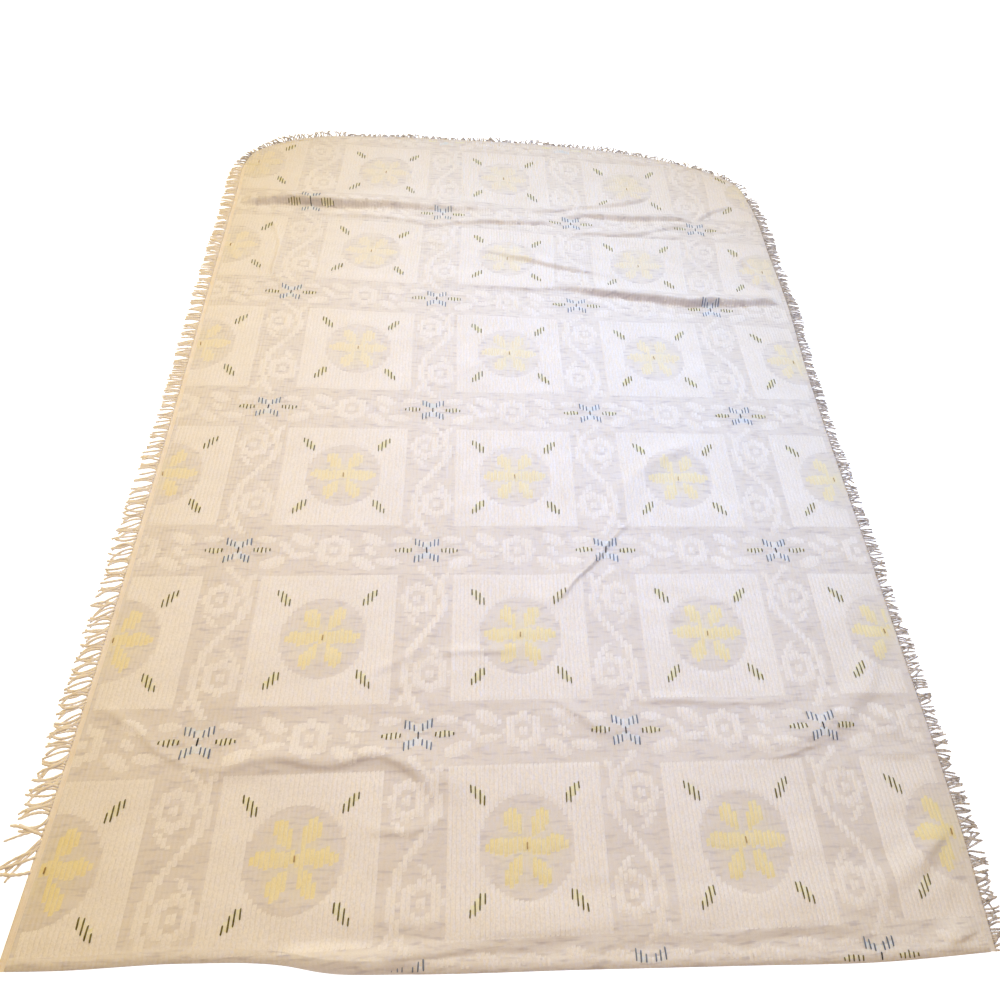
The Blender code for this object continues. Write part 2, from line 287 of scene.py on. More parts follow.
def lie_at(x, y):
    return read_raster(raster_z, x, y)


def as_points(*axes):
    return np.stack(axes, axis=-1).reshape(-1, 3)


def quads(grid):
    """The four-sided faces between a grid's neighbouring points."""
    return np.stack([grid[:-1, :-1], grid[:-1, 1:], grid[1:, 1:], grid[1:, :-1]], axis=-1).reshape(-1, 4)


def piece(name, points, faces, finish, slot):
    """A smooth-shaded piece of the bedspread, from its arrays of points and of faces."""
    mesh = bpy.data.meshes.new(name)
    mesh.from_pydata(np.concatenate(points).tolist(), [], [face for part in faces for face in part.tolist()])
    mesh.polygons.foreach_set("use_smooth", np.ones(len(mesh.polygons), bool))
    mesh.materials.append(finish)
    made = bpy.data.objects.new(name, mesh)
    scene.collection.objects.link(made)
    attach(made, "root")
    return made


def node_group(name, inputs, outputs):
    """An empty shader node group, the place on the object that it is read at, and the sockets of its two ends."""
    group = bpy.data.node_groups.new(name, "ShaderNodeTree")
    for way, sockets in (("INPUT", inputs), ("OUTPUT", outputs)):
        for label, value in sockets.items():
            kind = "NodeSocketColor" if isinstance(value, tuple) else "NodeSocketFloat"
            group.interface.new_socket(label, in_out=way, socket_type=kind).default_value = value
    given, made = group.nodes.new("NodeGroupInput").outputs, group.nodes.new("NodeGroupOutput").inputs
    return group, add_node(group, "TexCoord").outputs["Object"], given, made


def add_node(tree, kind, settings=None, **values):
    """A node with its settings, and the values or links of its inputs. Given a node, it links its first output."""
    node = tree.nodes.new("ShaderNode" + kind)
    for key, value in (settings or {}).items():
        setattr(node, key, value)
    for key, value in values.items():
        socket = node.inputs[int(key[1:]) if key[0] == "_" else key.replace("_", " ")]
        if isinstance(value, bpy.types.Node):
            value = value.outputs[0]
        if isinstance(value, bpy.types.NodeSocket):
            tree.links.new(value, socket)
        else:
            socket.default_value = value
    return node


def maths(tree, operation, *values):
    inputs = {f"_{k}": value for k, value in enumerate(values)}
    return add_node(tree, "Math", {"operation": operation}, **inputs).outputs[0]


def ranged(tree, value, low, high, made_low=0.0, made_high=1.0):
    """A value that runs between two others as the given one runs from low to high."""
    ends = {"From_Min": low, "From_Max": high, "To_Min": made_low, "To_Max": made_high}
    return add_node(tree, "MapRange", Value=value, **ends).outputs[0]


def mixed(tree, amount, first, second, **settings):
    """One colour with a second one over it."""
    return add_node(tree, "Mix", {"data_type": "RGBA", **settings}, _0=amount, _6=first, _7=second).outputs[2]


def cotton_group():
    """Cotton that has been washed often: soft blotches of a second shade, and a fine fuzz, with painted shade speckled
    into its low places.
    """
    group, place, given, made = node_group(
        "Washed cotton",
        {"Colour": (1, 1, 1, 1), "Blotch Colour": (1, 1, 1, 1), "Blotch Size": 0.2, "Fuzz Size": 0.002, "Speckle": 0.2},
        {"Colour": (1, 1, 1, 1), "Height": 0.0},
    )
    blotch_scale = maths(group, "DIVIDE", 1.0, given["Blotch Size"])
    blotch = add_node(group, "TexNoise", Vector=place, Scale=blotch_scale, Detail=4.0, Roughness=0.55)
    shade = mixed(group, ranged(group, blotch, 0.35, 0.7), given["Colour"], given["Blotch Colour"])
    fuzz_scale = maths(group, "DIVIDE", 1.0, given["Fuzz Size"])
    fuzz = add_node(group, "TexNoise", Vector=place, Scale=fuzz_scale, Detail=2.0, Roughness=0.7)
    # Painted shade: the colour is darkened, by the speckle amount, where the fuzz is low.
    pit = ranged(group, fuzz, 0.32, 0.58, 0.55, 1.0)
    group.links.new(mixed(group, given["Speckle"], shade, pit, blend_type="MULTIPLY"), made["Colour"])
    group.links.new(fuzz.outputs["Fac"], made["Height"])
    return group


def streak_group():
    """Streaks a few threads high and a hand long, and the ribs' pitch: uneven weft, greyer and thicker than the rest,
    and also painted shade of the weave's small puckers.
    """
    group, place, given, made = node_group(
        "Weft slubs and pucker shade",
        {"Streak Length": 0.07, "Streak Height": 0.004, "Rib Pitch": RIB},
        {"Streaks": 0.0, "Ribs": 0.0},
    )
    apart = add_node(group, "SeparateXYZ", Vector=place).outputs
    along = maths(group, "DIVIDE", apart["X"], given["Streak Length"])
    up = maths(group, "DIVIDE", apart["Y"], given["Streak Height"])
    stretched = add_node(group, "CombineXYZ", X=along, Y=up)
    streak = add_node(group, "TexNoise", Vector=stretched, Scale=1.0, Detail=2.0, Roughness=0.45)
    turn = maths(group, "MULTIPLY", maths(group, "DIVIDE", apart["X"], given["Rib Pitch"]), 2 * math.pi)
    group.links.new(ranged(group, streak, 0.42, 0.72), made["Streaks"])
    group.links.new(ranged(group, maths(group, "COSINE", turn), 1.0, -1.0), made["Ribs"])
    return group


def paler_ends_group():
    """A colour that grows paler towards the foot, and again in a narrow band along the head hem."""
    group, place, given, made = node_group(
        "Paler at the ends", {"Head Colour": (1, 1, 1, 1), "Foot Colour": (1, 1, 1, 1)}, {"Colour": (1, 1, 1, 1)}
    )
    down_the_cloth = add_node(group, "SeparateXYZ", Vector=place).outputs["Y"]
    towards_foot, by_the_hem = ranged(group, down_the_cloth, -0.95, 0.8), ranged(group, down_the_cloth, -1.26, -1.31)
    faded = maths(group, "MAXIMUM", towards_foot, by_the_hem)
    group.links.new(mixed(group, faded, given["Head Colour"], given["Foot Colour"]), made["Colour"])
    return group


def haze_group():
    """Colour that has run from the flowers into the weave round them, patchy and fading outwards."""
    group, place, given, made = node_group("Run dye", {"Reach": 0.08, "Amount": 0.4}, {"Mask": 0.0})
    from_row = add_node(group, "VectorMath", {"operation": "ADD"}, _0=place, _1=(0, MIDDLE_ROW * REPEAT, 0))
    half = REPEAT / 2
    from_flower = add_node(
        group, "VectorMath", {"operation": "WRAP"}, _0=from_row, _1=(half, half, 1), _2=(-half, -half, -1)
    )
    flat = add_node(group, "VectorMath", {"operation": "MULTIPLY"}, _0=from_flower, _1=(1, 1, 0))
    radius = add_node(group, "VectorMath", {"operation": "LENGTH"}, _0=flat).outputs["Value"]
    near = ranged(group, radius, 0.0, given["Reach"], 1.0, 0.0)
    patchy = add_node(group, "TexNoise", Vector=place, Scale=28.0, Detail=3.0, Roughness=0.6)
    patch = ranged(group, patchy, 0.35, 0.65, 0.2, 1.0)
    mask = maths(group, "MULTIPLY", maths(group, "MULTIPLY", near, patch), given["Amount"])
    group.links.new(mask, made["Mask"])
    return group


washed_cotton = cotton_group()
slubs_and_pucker_shade = streak_group()
paler_at_ends = paler_ends_group()
run_dye = haze_group()


def cotton_finish(name, colour, blotch_colour, blotch_size, fuzz_size, fuzz_depth, sheen=0.25, speckle=0.2):
    """A plain cotton finish, with its tree so that a section can add to it."""
    finish = bpy.data.materials.new(name)
    finish.use_nodes = True
    tree = finish.node_tree
    shader = tree.nodes["Principled BSDF"]
    shader.inputs["Roughness"].default_value = 0.92
    shader.inputs["Specular IOR Level"].default_value = 0.2
    shader.inputs["Sheen Weight"].default_value = sheen
    shader.inputs["Sheen Roughness"].default_value = 0.6
    cotton = add_node(
        tree, "Group", {"node_tree": washed_cotton}, Colour=(*colour, 1), Blotch_Colour=(*blotch_colour, 1),
        Blotch_Size=blotch_size, Fuzz_Size=fuzz_size, Speckle=speckle,
    )
    bump = add_node(tree, "Bump", Strength=0.6, Distance=fuzz_depth, Height=cotton.outputs["Height"])
    tree.links.new(cotton.outputs["Colour"], shader.inputs["Base Color"])
    tree.links.new(bump.outputs["Normal"], shader.inputs["Normal"])
    return finish, tree, shader, cotton, bump


def paler_ends_finish(name, shades, paler_shades, *settings):
    """A cotton finish with both of its shades growing paler towards the foot and along the head hem."""
    finish, tree, shader, cotton, bump = cotton_finish(name, *shades, *settings)
    for socket, at_head, faded in zip(("Colour", "Blotch Colour"), shades, paler_shades):
        fading = add_node(tree, "Group", {"node_tree": paler_at_ends}, Head_Colour=(*at_head, 1), Foot_Colour=(*faded, 1))
        tree.links.new(fading.outputs["Colour"], cotton.inputs[socket])
    return finish, tree, shader, cotton, bump


def weft_streaks(tree, length, height):
    streaks = {"node_tree": slubs_and_pucker_shade}
    return add_node(tree, "Group", streaks, Streak_Length=length, Streak_Height=height, Rib_Pitch=RIB).outputs


# The ground's two shades, and the paler two that it takes towards the foot and along the head hem.
GROUND, PALER_GROUND = ((0.782, 0.724, 0.695), (0.725, 0.665, 0.635)), ((0.832, 0.785, 0.76), (0.80, 0.75, 0.73))
SLUB = (0.74, 0.688, 0.68, 1)
PUCKER_SHADE = (0.61, 0.56, 0.57, 1)  # painted shade of the small puckers in the weave, laid as dark streaks
RUN_YELLOW = (0.81, 0.735, 0.50, 1)

ground_finish, tree, shader, cotton, bump = paler_ends_finish(
    "cream ground weave", GROUND, PALER_GROUND, 0.13, 0.0016, 0.0005
)
# The first set of streaks is uneven weft; the second set, in the dark colour, is painted shade of small puckers in the
# weave.
slubby, pucker_streaks = weft_streaks(tree, 0.045, 0.007), weft_streaks(tree, 0.036, 0.0075)
streaked = mixed(tree, slubby["Streaks"], cotton.outputs["Colour"], SLUB)
pucker_shaded = mixed(tree, ranged(tree, pucker_streaks["Streaks"], 0.35, 1.0), streaked, PUCKER_SHADE)
run = add_node(tree, "Group", {"node_tree": run_dye}, Reach=0.085, Amount=0.7)
tree.links.new(mixed(tree, run, pucker_shaded, RUN_YELLOW), shader.inputs["Base Color"])
ribbed = maths(tree, "MULTIPLY_ADD", slubby["Streaks"], 0.5, slubby["Ribs"])
relief = add_node(tree, "Bump", Strength=0.7, Distance=0.0010, Height=ribbed, Normal=bump)
tree.links.new(relief.outputs["Normal"], shader.inputs["Normal"])

CLOTH_LENGTH = 2.66
GROUND_CELL, GROUND_ROWS, FINE_ROWS = 0.0082, 360, 1300
HEM_DEPTH, HEM_STEP, HEM_THICK = 0.022, 0.0015, 0.0012


def ground_cloth():
    """The weave as a grid between its four edges, with the turned hem as a step along the head."""
    foot_reached = lengths_along(foot_edge)
    columns = round(foot_reached[-1] / GROUND_CELL)
    foot_at = np.linspace(0, foot_reached[-1], columns + 1)
    foot_x, foot_y = (np.interp(foot_at, foot_reached, foot_edge[:, k]) for k in (0, 1))
    across = (foot_x - foot_x[0]) / (foot_x[-1] - foot_x[0])
    head_x = left_hem[0, 0] + across * (right_hem[0, 0] - left_hem[0, 0])
    head_y = np.interp(head_x, *head_edge.T)

    def spread(up):
        left_x = np.interp(head_y[0] + up * (foot_y[0] - head_y[0]), *left_hem.T[::-1])
        right_x = np.interp(head_y[-1] + up * (foot_y[-1] - head_y[-1]), *right_hem.T[::-1])
        return left_x + across * (right_x - left_x), head_y + up * (foot_y - head_y)

    hem_line = np.array([0.0, HEM_STEP, HEM_DEPTH - HEM_STEP]) / CLOTH_LENGTH
    evenly = np.linspace(HEM_DEPTH / CLOTH_LENGTH, 1, FINE_ROWS)
    reached = np.cumsum(read_raster(crowding, *spread(np.repeat(evenly[:, None], columns + 1, axis=1))), axis=0)
    reached = (reached - reached[0]) / (reached[-1] - reached[0])
    rest = [np.interp(np.linspace(0, 1, GROUND_ROWS), column, evenly) for column in reached.T]
    up = np.concatenate([np.repeat(hem_line[:, None], columns + 1, axis=1), np.stack(rest, axis=1)])
    x, y = spread(up)
    z = lie_at(x, y) + CLOTH_TOP
    z[1:3] += HEM_THICK
    z[0] = 0.0004
    grid = np.arange(x.size).reshape(x.shape)
    return piece("ground_cloth", [as_points(x, y, z)], [quads(grid)], ground_finish, "chenille")


ground = ground_cloth()
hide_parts("bedspread_cloth")

# The weave has pulled out of square, most of all towards the foot. By column and row: how far, in metres, the pattern
# lies there from its even repeat, across and along.
PULLED = [
    (0.5, 4.5, 0, 0.008), (1.5, 4.5, 0.003, -0.008), (2.5, 4.5, 0.007, -0.034), (3.5, 4.5, 0.014, -0.03),
    (0.5, 3.5, -0.006, 0.02), (1.5, 3.5, -0.005, 0.01), (2.5, 3.5, -0.008, 0.002), (3.5, 3.5, -0.01, 0.006),
    (3, 4, -0.003, -0.02), (4, 4, -0.014, -0.026), (4, 5, 0.048, -0.044), (0, 5, 0.014, 0.028), (1, 5, 0.02, 0),
    (2, 5, -0.006, 0), (3, 5, 0.01, -0.028), (2, 0, 0, 0.008), (1, 0, 0, 0), (3, 0, 0, 0), (1.5, -0.47, 0, 0.006),
]
PULL_REACH = 0.45 * REPEAT
STIFFNESS = 0.1  # the share of the weave between those places that keeps to the even repeat


def pulled(x, y):
    """Where the pattern's place (x, y) lies, with the pull of the weave."""
    share, off_x, off_y = np.full(np.shape(x), STIFFNESS), np.zeros(np.shape(x)), np.zeros(np.shape(x))
    for column, row, far_x, far_y in PULLED:
        away = np.hypot(x - (column - MIDDLE_COLUMN) * REPEAT, y - (row - MIDDLE_ROW) * REPEAT)
        near = np.exp(-((away / PULL_REACH) ** 2))
        share, off_x, off_y = share + near, off_x + near * far_x, off_y + near * far_y
    return x + off_x / share, y + off_y / share


# ---------- tufted squares
# The squares are worked in soft white chenille cord, laid in ribs that run the length of the cloth with a narrow
# groove between each two. A round in the middle of every square is left plain.

RIB_WIDTH, RIB_HEIGHT, RIB_STEP = 0.0092, 0.0015, 0.0088
RIB_SOFT_END = 0.004  # over which a rib sinks into the ground at each end
ROUND_RADIUS = 10.1  # the plain round in each square, in ribs
WORN = ([0, 1, 2, 3, 4.1], [0.4, 0.55, 1.05, 1.1, 0.7])  # by column, how full the ribs are; worn ones lie flat and wide
HEAD_PACKING = 1.25  # beyond the first row of squares the rows are packed closer towards the hem
OUTER_RIB = 104  # ribs from the middle of the cloth to past its edge
PATTERN_STEP = 0.0018  # of the rows in which the pattern is read
CLEAR_OF_EDGE = 0.004  # between the pattern and every edge, and the least length of a rib
SUNK_END, SUNK_SIDE = 0.0006, 0.0002  # how deep a rib's ends and sides lie in the ground
WHITE, WHITE_BLOTCH = (0.88, 0.835, 0.825), (0.84, 0.79, 0.77)


def cell_offset(places, first):
    """How far each place, in ribs, is from the nearest motif centre; the centres are a repeat apart."""
    return places - first - RIBS_PER_REPEAT * np.round((places - first) / RIBS_PER_REPEAT)


def rib_strips(name, pattern, width, height, finish, seed, rise=0.0, thin_ends=0.86):
    """Ribs of cord wherever the pattern has them. It is asked for each rib's middle, in ribs from the centre column
    and from row 0, and every stretch it returns becomes one rounded, slightly uneven strip laid on the cloth."""
    rng = np.random.default_rng(seed)
    fine = np.arange(-1.38, 1.38, PATTERN_STEP)
    rows = fine / RIB + MIDDLE_ROW * RIBS_PER_REPEAT
    rows = np.where(rows < -SQUARE_HALF, -SQUARE_HALF + (rows + SQUARE_HALF) * HEAD_PACKING, rows)
    across = np.array([-0.5, -0.25, 0.25, 0.5])
    points, faces, count = [], [], 0
    for rib in np.arange(-OUTER_RIB, OUTER_RIB) + 0.5:
        x = rib * RIB
        full = np.interp(x / REPEAT + MIDDLE_COLUMN, *WORN)
        lies = pulled(np.full(fine.shape, x), fine)
        worked = pattern(np.full(fine.shape, rib), rows) & (np.minimum(*from_edges(*lies)) > CLEAR_OF_EDGE)
        reached = np.cumsum(read_raster(crowding, *lies)) * (fine[1] - fine[0])
        turns = np.flatnonzero(np.diff(np.concatenate([[0], worked.astype(int), [0]])))
        for first, last in zip(turns[::2], turns[1::2]):
            start, end = fine[first], fine[min(last, len(fine) - 1)]
            if end - start < CLEAR_OF_EDGE:
                continue
            soft = min(RIB_SOFT_END, 0.3 * (end - start))
            low, high = np.interp([start + soft, end - soft], fine, reached)
            steps = max(1, round((high - low) / RIB_STEP))
            y = np.concatenate([[start], np.interp(np.linspace(low, high, steps + 1), reached, fine), [end]])
            plump = 1 + 0.05 * rng.uniform(-1, 1, steps + 3)
            plump[[0, -1]] *= thin_ends
            middle = x + 0.0003 * rng.uniform(-1, 1, steps + 3)
            spread = width * (1.14 - 0.18 * full) * plump
            px, py = pulled(middle[:, None] + across * spread[:, None], np.repeat(y[:, None], 4, axis=1))
            lifted = height * plump * full
            lifted[[0, -1]] = -SUNK_END
            side = np.full(lifted.shape, -SUNK_SIDE)
            pz = lie_at(px, py) + CLOTH_TOP + rise + np.stack([side, lifted, lifted, side], axis=1)
            points.append(as_points(px, py, pz))
            grid = count + np.arange(px.size).reshape(px.shape)
            faces += [quads(grid), grid[:1, ::-1], grid[-1:]]
            count += px.size
    return piece(name, points, faces, finish, "chenille")


LEAF_STARTS = ([9, 10, 11, 12], [8.2, 8.4, 9.5, 11.0])
LEAF_ENDS = ([9, 10, 11, 12], [10.35, 11.6, 12.4, 12.7])


def leaf_rows(across):
    """Where a corner leaf's stitches start and end, in ribs from the square's middle, |across| ribs out."""
    return np.interp(across, *LEAF_STARTS), np.interp(across, *LEAF_ENDS)


def in_leaf(across, up):
    low, high = leaf_rows(np.abs(across))
    return (np.abs(across) > 8.9) & (np.abs(across) < 12.1) & (np.abs(up) > low) & (np.abs(up) < high)


def square_ribs(rib, row):
    across, up = cell_offset(rib, 0), cell_offset(row, 0)
    square = (np.abs(across) < SQUARE_HALF) & (np.abs(up) < SQUARE_HALF)
    return square & (np.hypot(across, up) > ROUND_RADIUS)


white_finish = cotton_finish("white chenille", WHITE, WHITE_BLOTCH, 0.12, 0.0036, 0.0016, 0.35, 0.26)[0]
squares = rib_strips("square_ribs", square_ribs, RIB_WIDTH, RIB_HEIGHT, white_finish, 21)

# ---------- scrolls and ring flowers
# Between the squares the same white cord draws a winding stem with round flowers on both sides, and in the cross
# strips a flower between two pairs of leaves. The stem is mirrored in the right half of the cloth.

STEM_UP = [-19.2, -15.4, -11.5, -7.7, -2.9, 1.9, 5.8, 9.6, 14.4, 18.2]
STEM_ACROSS = [0, -2.4, -3.8, -3.8, -2.4, 1.4, 4.3, 4.8, 3.4, -1.0]
STEM_HALF = 1.15
STRIP_HALF, STRIP_HALF_LENGTH, CROSS_STRIP_HALF = 7.25, 19.5, 7.0
RING_FLOWERS = [(-1.7, 10.1), (2.1, -9.6)]
RING_OUTER, RING_PETAL, RING_GAP = 4.45, 0.4, (1.2, 2.1)
# The leaves by their middle, half their length and width, all in ribs, and their tilt in degrees.
STRIP_LEAVES = [
    (-3.0, 4.4, 2.3, 0.9, -50), (3.1, -4.0, 2.3, 0.9, -50), (4.6, 15.6, 2.0, 0.9, 60), (-4.4, -15.8, 2.0, 0.9, 60),
]
CROSS_LEAVES = [
    (9.8, 3.3, 3.3, 1.7, -28), (9.4, -0.3, 1.9, 1.1, -50), (7.9, -3.9, 3.3, 1.7, -35), (14.2, -3.4, 3.4, 1.4, -4),
    (17.2, 3.3, 2.7, 1.2, 4), (-8.3, 3.2, 3.3, 1.7, -30), (-11.7, 0.4, 3.2, 1.2, -48), (-8.2, -1.5, 3.0, 1.1, 8),
    (-14.9, -3.6, 3.5, 1.8, 18), (-17.4, 3.2, 2.7, 1.2, -6),
]


def ring_flower(across, up):
    radius = np.hypot(across, up)
    petals = RING_OUTER + RING_PETAL * np.cos(8 * np.arctan2(up, across))
    return (radius < petals) & ~((radius > RING_GAP[0]) & (radius < RING_GAP[1]))


def leaf(across, up, middle_across, middle_up, half_length, half_width, tilt):
    turn = math.radians(tilt)
    a, b = across - middle_across, up - middle_up
    along, over = a * math.cos(turn) + b * math.sin(turn), b * math.cos(turn) - a * math.sin(turn)
    return (along / half_length) ** 2 + (over / half_width) ** 2 < 1


def scroll_ribs(rib, row):
    across, up = cell_offset(rib, RIBS_PER_REPEAT / 2), cell_offset(row, 0)
    across = np.where(rib > 0, -across, across)
    in_strip = (np.abs(across) < STRIP_HALF) & (np.abs(up) < STRIP_HALF_LENGTH)
    worked = np.abs(across - np.interp(up, STEM_UP, STEM_ACROSS)) < STEM_HALF
    for flower_across, flower_up in RING_FLOWERS:
        worked |= ring_flower(across - flower_across, up - flower_up)
    for shape in STRIP_LEAVES:
        worked |= leaf(across, up, *shape)
    cross_across, cross_up = cell_offset(rib, 0), cell_offset(row, RIBS_PER_REPEAT / 2)
    spray = ring_flower(cross_across, cross_up)
    for shape in CROSS_LEAVES:
        spray |= leaf(cross_across, cross_up, *shape)
    return in_strip & worked | (np.abs(cross_up) < CROSS_STRIP_HALF) & spray


scrolls = rib_strips("scroll_ribs", scroll_ribs, RIB_WIDTH, RIB_HEIGHT, white_finish, 22)

# ---------- yellow flowers
# A six-petalled flower in pale yellow chenille sits in every round. Its ribs lie in line with those of the square
# around it, and are the fullest on the cloth.

YELLOW = ((0.84, 0.735, 0.41), (0.85, 0.765, 0.53))  # at the head end
PALER_YELLOW = ((0.85, 0.785, 0.71), (0.84, 0.775, 0.65))  # paler, at the foot and along the head hem
# ribs out from the flower's middle: half the height of a side petal, and the two ends of a slanted one
SIDE_PETAL = ([0.5, 1.5, 2.5, 3.5, 4.5, 5.5, 6.5, 7.5, 8.5], [1.5, 1.7, 1.7, 1.7, 1.9, 1.9, 1.8, 1.5, 0.9])
SLANTED_PETAL = ([1.5, 2.5, 3.5, 4.5], [1.8, 2.3, 2.8, 4.0], [6.0, 7.4, 7.9, 7.2])
FRAYED = np.random.default_rng(29).uniform(-0.42, 0.42, (2 * OUTER_RIB, 9))  # how far each rib is out of line, in ribs


def flower_ribs(rib, row):
    flower_row = np.clip(np.round(row / RIBS_PER_REPEAT).astype(int) + 1, 0, 8)
    out_of_line = FRAYED[(rib + OUTER_RIB).astype(int), flower_row]
    across, up = np.abs(cell_offset(rib, 0)), np.abs(cell_offset(row, 0) + out_of_line)
    side = (across < 9) & (up < np.interp(across, *SIDE_PETAL))
    ribs, low, high = SLANTED_PETAL
    slanted = (across > 1) & (across < 5) & (up > np.interp(across, ribs, low)) & (up < np.interp(across, ribs, high))
    return side | slanted


yellow_finish = paler_ends_finish("pale yellow chenille", YELLOW, PALER_YELLOW, 0.02, 0.003, 0.0014, 0.3)[0]
flowers = rib_strips("flower_ribs", flower_ribs, RIB * 0.95, RIB_HEIGHT * 1.2, yellow_finish, 23, thin_ends=0.95)

# ---------- tinted ribs
# Between the coloured stitches the ribs are dyed a pale shade of the same colour: blue in the stars, green in the
# leaves. The dye has faded almost to white.

PALE_BLUE, PALE_GREEN = (0.72, 0.765, 0.84), (0.83, 0.80, 0.57)
DYED_RISE = 0.0003  # a dyed rib replaces the white one, and stands as much proud of it
STAR_ROWS = ([1, 2, 3], [1.0, 1.2, 1.5], [2.6, 3.3, 3.6])  # stitches out from the star's middle: start and end
SIDE_LEAF = ([4, 5, 6, 7, 8], [0.52, 0.72, 0.81, 0.68, 0.38])  # and half their length in the leaves beside it


def star_offsets(rib, row):
    return np.abs(cell_offset(rib, RIBS_PER_REPEAT / 2)), np.abs(cell_offset(row, RIBS_PER_REPEAT / 2))


def star_ribs(rib, row):
    across, up = star_offsets(rib, row)
    low, high = np.interp(across, STAR_ROWS[0], STAR_ROWS[1]), np.interp(across, STAR_ROWS[0], STAR_ROWS[2])
    return (across < 3.1) & (up > low * np.where(across < 1, 0.4, 0.9)) & (up < high)


def leaf_ribs(rib, row):
    across, up = star_offsets(rib, row)
    beside_star = (across > 3.9) & (across < 8.1) & (up < np.interp(across, *SIDE_LEAF))
    return in_leaf(cell_offset(rib, 0), cell_offset(row, 0)) | beside_star


blue_finish = cotton_finish("faded blue chenille", PALE_BLUE, WHITE, 0.03, 0.0022, 0.0012, 0.3)[0]
green_tint_finish = cotton_finish("faded green chenille", PALE_GREEN, WHITE, 0.03, 0.0022, 0.0012, 0.3)[0]
star_tint = rib_strips("star_ribs", star_ribs, RIB_WIDTH, RIB_HEIGHT, blue_finish, 24, DYED_RISE)
leaf_tint = rib_strips("leaf_ribs", leaf_ribs, RIB_WIDTH, RIB_HEIGHT, green_tint_finish, 25, DYED_RISE)

# ---------- coloured stitches
# Leaves, stars and flower centres are single long stitches of twisted yarn, each lying in the groove between two
# ribs. They are the only strong colour on the cloth.

STITCH_WIDTH = 0.0029
STITCH_TOP = 0.0015  # of the yarn's middle above the ground
SHORTEST_STITCH = 0.003  # half its length, and its distance from the head hem
FLOWERS = list(itertools.product(range(5), range(6)))  # every column and row
STARS = list(itertools.product((0.5, 1.5, 2.5, 3.5), (-0.47, 0.5, 1.5, 2.5, 3.5, 4.5)))
SIDES = (-1, 1)


def leaf_stitches():
    for place, side, end, across in itertools.product(FLOWERS, SIDES, SIDES, LEAF_STARTS[0]):
        low, high = leaf_rows(across)
        yield *place, side * across, end * (low + high) / 2, (high - low) / 2
    for place, side, (across, half) in itertools.product(STARS, SIDES, zip(*SIDE_LEAF)):
        yield *place, side * across, 0.0, half


def star_stitches():
    for place, side, end, (across, low, high) in itertools.product(STARS, SIDES, SIDES, zip(*STAR_ROWS)):
        yield *place, side * across, end * (low + high) / 2, (high - low) / 2


def stitches(name, places, finish, seed, sides=6):
    """Short lengths of yarn, each given by its motif's column and row, its place in ribs from there, and half its
    length. Both ends dive into the cloth."""
    rng = np.random.default_rng(seed)
    turn = np.arange(sides) * 2 * math.pi / sides
    stations = np.array([-1.0, -0.86, -0.4, 0.1, 0.5, 0.88, 1.0])  # along the stitch, where it has its rings
    swell = np.array([0.45, 0.92, 1.05, 0.95, 1.08, 0.9, 0.45])
    dive = np.array([-0.0018, -0.0002, 0, 0.0001, 0, -0.0002, -0.0018])
    points, faces, count = [], [], 0
    for column, row, across, up, half in places:
        x = (column - MIDDLE_COLUMN) * REPEAT + (across + 0.05 * rng.uniform(-1, 1)) * RIB
        y = (row - MIDDLE_ROW) * REPEAT + (up + 0.12 * rng.uniform(-1, 1)) * RIB
        lean, length = 0.0006 * rng.uniform(-1, 1), half * RIB * rng.uniform(0.9, 1.08)
        cut = max(0.0, np.interp(x, *head_edge.T) + SHORTEST_STITCH - pulled(x, y - length)[1])  # by the head hem
        y, length = y + cut / 2, length - cut / 2
        if length < SHORTEST_STITCH or min(from_edges(*pulled(x, y))) < CLEAR_OF_EDGE:
            continue
        xs, ys = pulled(x + stations * lean, y + stations * length)
        radius = STITCH_WIDTH / 2 * swell * rng.uniform(0.9, 1.1)
        zs = lie_at(xs, ys) + CLOTH_TOP + STITCH_TOP + dive
        px = xs[:, None] + radius[:, None] * np.cos(turn)
        pz = zs[:, None] + radius[:, None] * np.sin(turn)
        py = np.repeat(ys[:, None], sides, axis=1)
        points.append(as_points(px, py, pz))
        rings = count + np.arange(px.size).reshape(px.shape)
        beside = np.roll(rings, -1, axis=1)
        around = np.stack([rings[:-1], beside[:-1], beside[1:], rings[1:]], axis=-1)
        faces += [around.reshape(-1, 4), rings[:1, ::-1], rings[-1:]]
        count += px.size
    return piece(name, points, faces, finish, "chenille")


green_yarn = cotton_finish("olive green yarn", (0.115, 0.09, 0.018), (0.22, 0.19, 0.05), 0.012, 0.0009, 0.0005, 0.1)[0]
blue_yarn = cotton_finish("slate blue yarn", (0.14, 0.17, 0.255), (0.24, 0.28, 0.365), 0.02, 0.0009, 0.0005, 0.1)[0]
brown_yarn = cotton_finish("golden brown yarn", (0.42, 0.27, 0.11), (0.56, 0.42, 0.20), 0.02, 0.0009, 0.0005, 0.1)[0]
black_yarn = cotton_finish("navy black yarn", (0.02, 0.022, 0.035), (0.06, 0.06, 0.08), 0.02, 0.0009, 0.0005, 0.1)[0]
leaf_yarn = stitches("leaf_stitches", leaf_stitches(), green_yarn, 31)
star_yarn = stitches("star_stitches", star_stitches(), blue_yarn, 32)
flower_centres = stitches("flower_centre_stitches", [(*place, 0, 0, 0.68) for place in FLOWERS], brown_yarn, 33)
star_centres = stitches("star_centre_stitches", [(*place, 0, 0, 0.86) for place in STARS], black_yarn, 34)

# ---------- fringe
# A cotton cord fringe on a woven tape is machine-sewn outside both long sides and round the foot. Its cords are
# two-ply, cut at the end, and lie as the cloth was dropped: leaning, crossing and here and there bunched.

PLY_TURN = 0.011  # metres of cord to one turn of its two plies
BUNCH = 0.036  # metres of tape to one bunch, in which the cords swing together and curl back to the next
TAPE_TOP, TAPE_STITCH = 0.0032, 0.006
